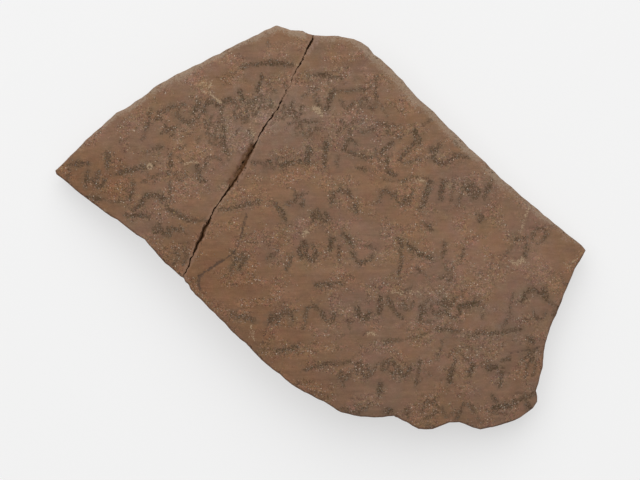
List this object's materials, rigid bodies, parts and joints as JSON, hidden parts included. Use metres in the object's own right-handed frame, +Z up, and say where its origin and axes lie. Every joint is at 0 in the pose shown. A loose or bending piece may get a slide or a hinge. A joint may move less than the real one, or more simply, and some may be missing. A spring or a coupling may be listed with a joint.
{
  "type": "ostracon",
  "caption": "Irregular, gently arched pottery sherd with faded ink strokes in rows on its outer face, broken in two and laid edge to edge.",
  "frame": {"origin": "under the middle of the sherd's box, on the surface that it lies on", "axes": "+X along the sherd's greatest length, towards its right-hand corner; +Y up the written face, across the rows; +Z up, out of the written face"},
  "size_m": [0.1384, 0.105, 0.0183],
  "materials": {
    "fired_clay": "matt, unglazed red-brown fired clay with faded grey-black ink"
  },
  "bodies": {
    "root": {"main_fragment": "fired_clay", "left_fragment": "fired_clay"}
  },
  "joints": []
}
